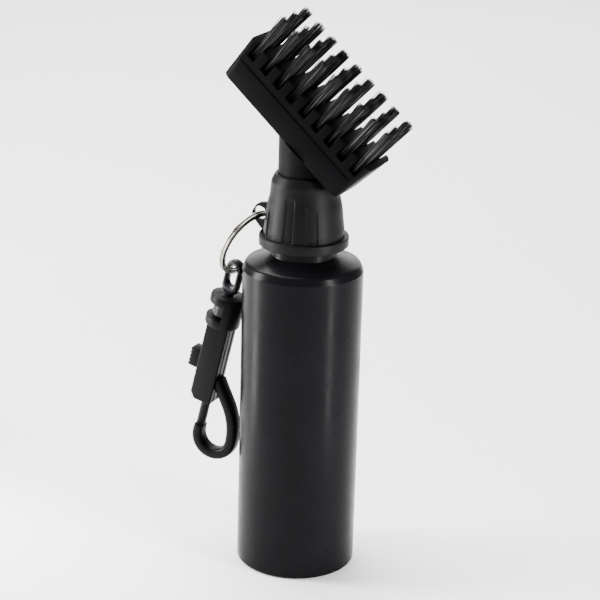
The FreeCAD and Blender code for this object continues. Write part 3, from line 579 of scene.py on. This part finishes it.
def build_stem():
    shell = Shell()
    segments = 96
    verts = []
    flange = ((FLANGE_RADIUS, WASHER_TOP), (FLANGE_RADIUS, POCKET_TOP), (STEM_RADIUS, POCKET_TOP))
    for radius, height in flange:
        verts.extend((radius * math.cos(2 * math.pi * k / segments),
                      radius * math.sin(2 * math.pi * k / segments), height) for k in range(segments))
    for radius, sink in ((STEM_RADIUS, -0.9), (9.12, -0.45), (9.4, -0.12), (9.9, 0.06)):
        for k in range(segments):
            angle = 2 * math.pi * k / segments
            x = radius * math.cos(angle)
            slope = (x - HEAD_X) * math.cos(HEAD_TILT) / math.sin(HEAD_TILT)
            verts.append((x, radius * math.sin(angle), HEAD_Z - slope + sink))
    faces = loop_faces(7, segments)
    faces.append([6 * segments + k for k in range(segments)])
    for radius, height in ((STEM_BORE, WASHER_TOP), (STEM_BORE, STEM_BORE_TOP), (FEED_RADIUS, STEM_BORE_TOP),
                           (FEED_RADIUS, FEED_TOP)):
        start = len(verts)
        verts.extend((radius * math.cos(2 * math.pi * k / segments),
                      radius * math.sin(2 * math.pi * k / segments), height) for k in range(segments))
        previous = 0 if height == WASHER_TOP else start - segments
        for k in range(segments):
            faces.append([previous + k, previous + (k + 1) % segments, start + (k + 1) % segments, start + k])
    faces.append([len(verts) - segments + k for k in range(segments)])
    shell.add(verts, faces)
    end = PLATE_HALF_LENGTH - PLATE_GAP
    outline = [(-end, 0.02), (end, 0.02), (end, PLATE_THICKNESS), (-end, PLATE_THICKNESS)]
    plate = worked(*extruded(outline, PLATE_HALF_WIDTH - PLATE_GAP), bevel=0.25)
    shell.add(*plate, HEAD)
    piece("stem", shell, "head", HEAD_BLACK, ["neck_stem"])


def build_washer():
    inner, outer, top = 6.0, 10.4, WASHER_TOP - WASHER_GAP
    corners = ((inner, NECK_TOP), (outer, NECK_TOP), (outer, top), (inner, top))
    outline = rounded([(radius, height, 0.2) for radius, height in corners], 4)
    shell = Shell()
    shell.add(*lathe(outline, 96))
    piece("washer", shell, "washer", WASHER_RUBBER, ["sealing_washer"])


# ---------------------------------------------------------------- brush block
ROW_PITCH = 6.1
SLOT = 3.2
SLOT_FLOOR = 10.2
DEPTH = 15.2
HALF_WIDTH = 9.2
LEDGE_HEIGHT = 7.6
LEDGE_DEPTH = 0.35
CORNER_RADIUS = 2.6
ROWS = 9
TUFT_SPACING = 5.4


def build_block():
    outline = [(-27.6, 0.0), (26.5, 0.0), (28.25, DEPTH), (-28.8, DEPTH)]
    verts, faces = round_corners(*extruded(outline, HALF_WIDTH), CORNER_RADIUS)
    cutters = [box_mesh((row * ROW_PITCH - SLOT / 2, row * ROW_PITCH + SLOT / 2), (-12.0, 12.0),
                        (SLOT_FLOOR, DEPTH + 2.0)) for row in range(-4, 5)]
    cutters.append(box_mesh((-PLATE_HALF_LENGTH, PLATE_HALF_LENGTH), (-PLATE_HALF_WIDTH, PLATE_HALF_WIDTH),
                            (-1.0, PLATE_THICKNESS)))
    for side in (-1, 1):
        ledge = box_mesh((-32.0, 32.0), (-1.0, 1.0), (LEDGE_HEIGHT, DEPTH + 2.0))
        cutters.append(shifted(ledge, (0, side * (HALF_WIDTH - LEDGE_DEPTH + 1.0), 0)))
    body = worked(verts, faces, cutters, bevel=0.42, segments=3, limit=38.0)
    shell = Shell()
    shell.add(*body, HEAD)
    piece("block", shell, "head", HEAD_BLACK, ["brush_block"], 30.0)


def round_corners(verts, faces, radius):
    """Rounds the four corner edges that run from the block's back to its face."""
    work = bmesh.new()
    made = [work.verts.new(v) for v in verts]
    for face in faces:
        work.faces.new([made[k] for k in face])
    bmesh.ops.recalc_face_normals(work, faces=work.faces)
    corners = []
    for edge in work.edges:
        a, b = (v.co for v in edge.verts)
        if abs(abs(a.z - b.z) - DEPTH) < 1e-3 and abs(a.y - b.y) < 1e-3:
            corners.append(edge)
    bmesh.ops.bevel(work, geom=corners, offset=radius, offset_type="OFFSET", segments=7, profile=0.5,
                    affect="EDGES")
    work.verts.ensure_lookup_table()
    work.verts.index_update()
    out = [v.co.copy() for v in work.verts], [[v.index for v in f.verts] for f in work.faces]
    work.free()
    return out


# ---------------------------------------------------------------- bristles
FILAMENTS = 74
FILAMENT_RADIUS = 0.15
ROOT_RADIUS = 1.12
ROOT_DEPTH = 0.4
STEPS = 7
TIP_HEIGHT = 28.7
GOLDEN_ANGLE = 2.39996
STRAY_SHARE = 0.06


def build_bristles():
    draw = random.Random(11)
    for row in range(ROWS):
        for column, side in enumerate(("near", "middle", "far")):
            shell = Shell()
            along = (row - 4) * ROW_PITCH
            across = (column - 1) * TUFT_SPACING
            lean = (column - 1) * SPLAY
            clump = (draw.uniform(-0.35, 0.35), draw.uniform(-0.3, 0.3))
            for k in range(FILAMENTS):
                shell.add(*filament(draw, k, along, across, lean, clump), HEAD)
            name = f"tuft_{row + 1}_{side}"
            piece(name + "_bristles", shell, "head", BRISTLES[column], [name], 80.0)


def filament(draw, k, along, across, lean, clump):
    """One bristle: a thin bent rod that spreads from the tuft's root to its tip."""
    share = math.sqrt((k + 0.5) / FILAMENTS)
    turn = k * GOLDEN_ANGLE + draw.uniform(-0.2, 0.2)
    root = Vector((math.cos(turn), math.sin(turn))) * share * ROOT_RADIUS
    stray = draw.random() < STRAY_SHARE
    spread = 1.5 + draw.uniform(-0.12, 0.12) + (0.35 if stray else 0.0)
    tip = root * spread + Vector((draw.gauss(0, 0.16) + clump[0] * 0.6, draw.gauss(0, 0.16) + clump[1] * 0.6))
    length = (TIP_HEIGHT - SLOT_FLOOR) / math.cos(lean) + draw.uniform(-0.55, 0.15)
    bow = Vector((draw.gauss(0, 0.10), draw.gauss(0, 0.10)))
    path = []
    for step in range(STEPS + 1):
        t = step / STEPS
        offset = root.lerp(tip, t ** 1.25) + bow * math.sin(math.pi * t)
        rise = SLOT_FLOOR - ROOT_DEPTH + (length + ROOT_DEPTH) * t
        reach = (rise - SLOT_FLOOR) * math.tan(lean) * math.cos(lean)
        height = SLOT_FLOOR + (rise - SLOT_FLOOR) * math.cos(lean)
        path.append(Vector((along + offset.x, across + offset.y + reach, height)))
    sections = []
    for step in range(STEPS + 1):
        radius = FILAMENT_RADIUS * (1.0 if step < STEPS else 0.7)
        sections.append([(radius * math.cos(a), radius * math.sin(a))
                         for a in (0.3, 0.3 + math.pi / 2, 0.3 + math.pi, 0.3 + 1.5 * math.pi)])
    return sweep(path, [Vector((1, 0, 0))] * (STEPS + 1), sections)


# ---------------------------------------------------------------- split ring
RING_TURNS = 1.93
RING_START = math.radians(118)
RING_CROSSOVER = math.radians(60)
RING_OFFSET = 0.46
WIRE_WIDTH = 1.7
WIRE_HEIGHT = 0.86


def build_ring():
    """Nearly two turns of flat wire side by side, joined by a short slanted stretch."""
    steps = 260
    path = []
    full_angle = 2 * math.pi * RING_TURNS
    for k in range(steps + 1):
        angle = RING_START + full_angle * k / steps
        climb = (full_angle * k / steps - full_angle / 2) / RING_CROSSOVER
        climb = max(-1.0, min(1.0, climb))
        shift = RING_OFFSET * math.sin(climb * math.pi / 2)
        path.append(Vector((RING_RADIUS * math.cos(angle), RING_RADIUS * math.sin(angle), shift)))
    section = superellipse(WIRE_WIDTH, WIRE_HEIGHT, 3.4, 16)
    shell = Shell()
    shell.add(*sweep(path, [Vector((0, 0, 1))] * (steps + 1), [section] * (steps + 1)), RING)
    piece("double_ring", shell, "ring", NICKEL, ["split_ring"], 45.0)


# ---------------------------------------------------------------- snap hook
EYE_POINTS = 72
EYE_THICKNESS = 3.0


def stadium(half_width, top, bottom, top_radius, bottom_radius):
    """Points round a tall rounded outline, one per equal step of angle about its middle."""
    corners = rounded([(-half_width, bottom, bottom_radius), (half_width, bottom, bottom_radius),
                       (half_width, top, top_radius), (-half_width, top, top_radius)], 10)
    centre = Vector((0, (top + bottom) / 2))
    points = []
    for k in range(EYE_POINTS):
        angle = 2 * math.pi * k / EYE_POINTS
        ray = Vector((math.cos(angle), math.sin(angle)))
        points.append(tuple(centre + ray * outline_reach(corners, centre, ray)))
    return points


def build_eye():
    outer = stadium(3.15, 4.0, -8.7, 3.1, 2.6)
    inner = stadium(1.8, 1.8, -5.2, 1.79, 1.5)
    shell = Shell()
    shell.add(*plate_loop(outer, inner, EYE_THICKNESS, 3.2, 28), HOOK @ Matrix.Rotation(EYE_TURN, 4, "Z"))
    stud = [(1.0, -7.6), (1.5, -7.8), (1.5, -12.2), (3.9, -12.2), (4.2, -12.5), (4.2, -16.4), (3.8, -16.8)]
    shell.add(*solid_lathe(stud, 56), HOOK)
    piece("eye", shell, "eye", EYE_BLACK, ["swivel_eye"])


BAR_HALF_WIDTH = 3.9
TIP_Z = -59.3
BEND_Z = -61.0
BEND_RADIUS = 6.4
BEND_WIDTH = 5.6
BEND_THICKNESS = 4.0
TIP_TAPER = 0.5
ARM_RADIUS = 22.0
ARM_ANGLE = math.radians(38.0)
ARM_RUN = 9.0


def build_hook():
    shell = Shell()
    collar_line = [(5.1, -20.5), (5.7, -20.3), (6.0, -19.8), (6.0, -9.9), (5.75, -9.3), (5.2, -9.0)]
    window = shifted(box_mesh((-7.0, 1.6), (-5.1, 5.1), (-17.4, -12.0)), (0, -1.9, 0))
    room = cylinder(4.5, -17.4, -12.0, 56)
    stud_hole = cylinder(1.58, -13.0, -8.0, 32)
    collar = worked(*solid_lathe(collar_line, 72), [window, room, stud_hole], bevel=0.2, segments=2,
                    limit=50.0)
    shell.add(*collar, HOOK)
    outline = [(-3.9, -19.5), (-3.9, -47.0), (-2.2, -49.3), (4.2, -49.3), (4.2, -19.5)]
    bar = worked(*extruded(outline, BAR_HALF_WIDTH), bevel=0.6, segments=4, limit=30.0)
    bore = shifted(cylinder(1.68, -53.0, -21.8, 32), (BOLT_X, 0, 0))
    slot = box_mesh((-5.5, BOLT_X), (-1.0, 1.0), (-36.2, -26.0))
    groove = box_mesh((3.95, 5.5), (-0.5, 0.5), (-52.0, -21.0))
    grooves = [shifted(groove, (0, side, 0)) for side in (-1.5, 1.5)]
    bar = worked(*bar, [bore, slot] + grooves)
    shell.add(*bar, HOOK)
    shell.add(*bend(), HOOK)
    piece("hook", shell, "hook", HOOK_BLACK, ["hook_body"], 32.0)


def bend():
    """The slanted arm and the round hook that comes up under the bolt."""
    path = [Vector((BOLT_X, 0, TIP_Z + (BEND_Z - TIP_Z) * k / 4)) for k in range(4)]
    for k in range(33):
        turn = math.pi + math.pi * k / 32
        path.append(Vector((BOLT_X + BEND_RADIUS + BEND_RADIUS * math.cos(turn), 0,
                            BEND_Z + BEND_RADIUS * math.sin(turn))))
    for k in range(1, 17):
        turn = ARM_ANGLE * k / 16
        path.append(Vector((BOLT_X + 2 * BEND_RADIUS - ARM_RADIUS + ARM_RADIUS * math.cos(turn), 0,
                            BEND_Z + ARM_RADIUS * math.sin(turn))))
    top = path[-1]
    for k in range(1, 6):
        path.append(top + Vector((-math.sin(ARM_ANGLE), 0, math.cos(ARM_ANGLE))) * (ARM_RUN * k / 5))
    sections = []
    for k in range(len(path)):
        thickness = BEND_THICKNESS - TIP_TAPER * max(0.0, 1.0 - k / 10)
        sections.append(superellipse(BEND_WIDTH, thickness, 3.0, 24))
    flat = [Vector((0, 1, 0)).cross(path[min(k + 1, len(path) - 1)] - path[max(k - 1, 0)]).normalized()
            for k in range(len(path))]
    return sweep(path, flat, sections)


PAD_LOW = -38.7
PAD_HIGH = -31.7
PAD_INNER = -4.3
PAD_OUTER = -7.9
PAD_GROOVE = -7.4
RIDGES = 5
RIDGE_PITCH = 1.36
SPRING_LOW = -32.78
SPRING_HIGH = -22.02
SPRING_TURNS = 6
SPRING_RADIUS = 1.2
SPRING_WIRE = 0.2


def build_bolt():
    shell = Shell()
    line = [(1.0, -59.15), (1.4, -59.0), (1.6, -58.7), (1.6, -33.3), (1.3, -33.0)]
    shell.add(*shifted(solid_lathe(line, 40), (BOLT_X, 0, 0)), HOOK)
    piece("bolt", shell, "bolt", HOOK_BLACK, ["gate_bolt"])
    shell = Shell()
    outline = [(PAD_INNER, PAD_LOW), (-7.3, PAD_LOW)]
    for ridge in range(RIDGES):
        low = PAD_LOW + 0.35 + ridge * RIDGE_PITCH
        outline += [(PAD_OUTER, low), (PAD_OUTER, low + 0.72), (PAD_GROOVE, low + 0.96),
                    (PAD_GROOVE, low + 1.12)]
    outline[-2:] = [(PAD_GROOVE, PAD_HIGH)]
    outline.append((PAD_INNER, PAD_HIGH))
    pad = worked(*extruded(outline, 2.1), bevel=0.16, segments=2, limit=25.0)
    shell.add(*pad, HOOK)
    neck = Matrix.Translation((-4.6, 0, -35.2)) @ Matrix.Rotation(math.pi / 2, 4, "Y")
    shell.add(*cylinder(0.8, 0.0, 6.6, 28), HOOK @ neck)
    piece("knob", shell, "bolt", HOOK_BLACK, ["thumb_knob"])


def build_spring():
    steps = 216
    path = []
    for k in range(steps + 1):
        angle = 2 * math.pi * SPRING_TURNS * k / steps
        path.append(Vector((BOLT_X + SPRING_RADIUS * math.cos(angle), SPRING_RADIUS * math.sin(angle),
                            SPRING_LOW + (SPRING_HIGH - SPRING_LOW) * k / steps)))
    section = [(SPRING_WIRE * math.cos(2 * math.pi * k / 8), SPRING_WIRE * math.sin(2 * math.pi * k / 8))
               for k in range(8)]
    shell = Shell()
    shell.add(*sweep(path, [Vector((0, 0, 1))] * (steps + 1), [section] * (steps + 1)), HOOK)
    coil = piece("spring_coil", shell, "hook", SPRING_STEEL, ["bolt_spring"], 60.0)
    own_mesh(coil)


def finish_anchors():
    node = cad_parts["tuft_anchors"]
    node.data.materials.clear()
    node.data.materials.append(BRASS)


# ---------------------------------------------------------------- floor, lights and camera
AZIMUTH = math.radians(24.5)


def around(azimuth_from_camera, distance, height):
    """A point at an angle from the camera's direction; counter-clockwise seen from above is positive."""
    angle = AZIMUTH + math.radians(azimuth_from_camera)
    return Vector((math.sin(angle) * distance, -math.cos(angle) * distance, height))


def softbox(name, place, aim, width, height, power):
    data = bpy.data.lights.new(name, "AREA")
    data.shape = "RECTANGLE"
    data.size = width
    data.size_y = height
    data.energy = power
    light = bpy.data.objects.new(name, data)
    light.location = place
    light.rotation_euler = (Vector(aim) - Vector(place)).to_track_quat("-Z", "Y").to_euler()
    bpy.context.scene.collection.objects.link(light)


FLOOR_REACH = 8.0
WORLD_STRENGTH = 0.32
CAMERA_DISTANCE = 0.6172
CAMERA_HEIGHT = 0.310
CAMERA_ROLL = math.radians(1.65)


def build_stage():
    mesh = bpy.data.meshes.new("floor")
    corners = [(x * FLOOR_REACH, y * FLOOR_REACH, 0) for x, y in ((-1, -1), (1, -1), (1, 1), (-1, 1))]
    mesh.from_pydata(corners, [], [[0, 1, 2, 3]])
    floor = bpy.data.objects.new("floor", mesh)
    bpy.context.scene.collection.objects.link(floor)
    material, nodes, links, shader = new_material("floor_white")
    tone = add_noise(nodes, links, 3.0, 2.0)
    links.new(ramp(nodes, links, tone, (0.93, 0.93, 0.93), (0.95, 0.95, 0.95)), shader.inputs["Base Color"])
    shader.inputs["Roughness"].default_value = 0.9
    shader.inputs["Specular IOR Level"].default_value = 0.1
    mesh.materials.append(material)
    world = bpy.data.worlds.new("studio")
    bpy.context.scene.world = world
    world.use_nodes = True
    world.node_tree.nodes["Background"].inputs["Color"].default_value = (1, 1, 1, 1)
    world.node_tree.nodes["Background"].inputs["Strength"].default_value = WORLD_STRENGTH
    middle = (0, 0, 0.09)
    softbox("left_box", around(-94, 0.7, 0.22), middle, 0.22, 0.6, 18)
    softbox("right_box", around(54, 0.8, 0.25), middle, 0.13, 0.6, 12)
    softbox("left_strip", around(-92, 0.15, 0.095), (0, 0, 0.095), 0.03, 0.19, 0.36)
    softbox("right_strip", around(54, 0.15, 0.095), (0, 0, 0.095), 0.016, 0.19, 0.26)
    softbox("top_box", around(-150, 0.5, 1.1), middle, 0.9, 0.9, 42)
    softbox("back_box", around(175, 1.1, 0.42), middle, 1.3, 0.6, 9)


def build_camera():
    data = bpy.data.cameras.new("camera")
    data.lens = 118.6
    data.sensor_width = 36.0
    data.sensor_fit = "HORIZONTAL"
    data.shift_x = -0.0045
    data.shift_y = -0.034
    camera = bpy.data.objects.new("camera", data)
    place = around(0, CAMERA_DISTANCE, CAMERA_HEIGHT)
    back = (place - Vector((0, 0, 0.1))).normalized()
    right = Vector((0, 0, 1)).cross(back).normalized()
    up = back.cross(right)
    turned_up = up * math.cos(CAMERA_ROLL) - right * math.sin(CAMERA_ROLL)
    turned_right = right * math.cos(CAMERA_ROLL) + up * math.sin(CAMERA_ROLL)
    camera.matrix_world = Matrix.Translation(place) @ Matrix(
        (turned_right, turned_up, back)).transposed().to_4x4()
    bpy.context.scene.collection.objects.link(camera)
    bpy.context.scene.camera = camera


build_bottle()
build_cap()
build_stem()
build_washer()
build_block()
build_bristles()
build_ring()
build_eye()
build_hook()
build_bolt()
build_spring()
finish_anchors()
build_stage()
build_camera()
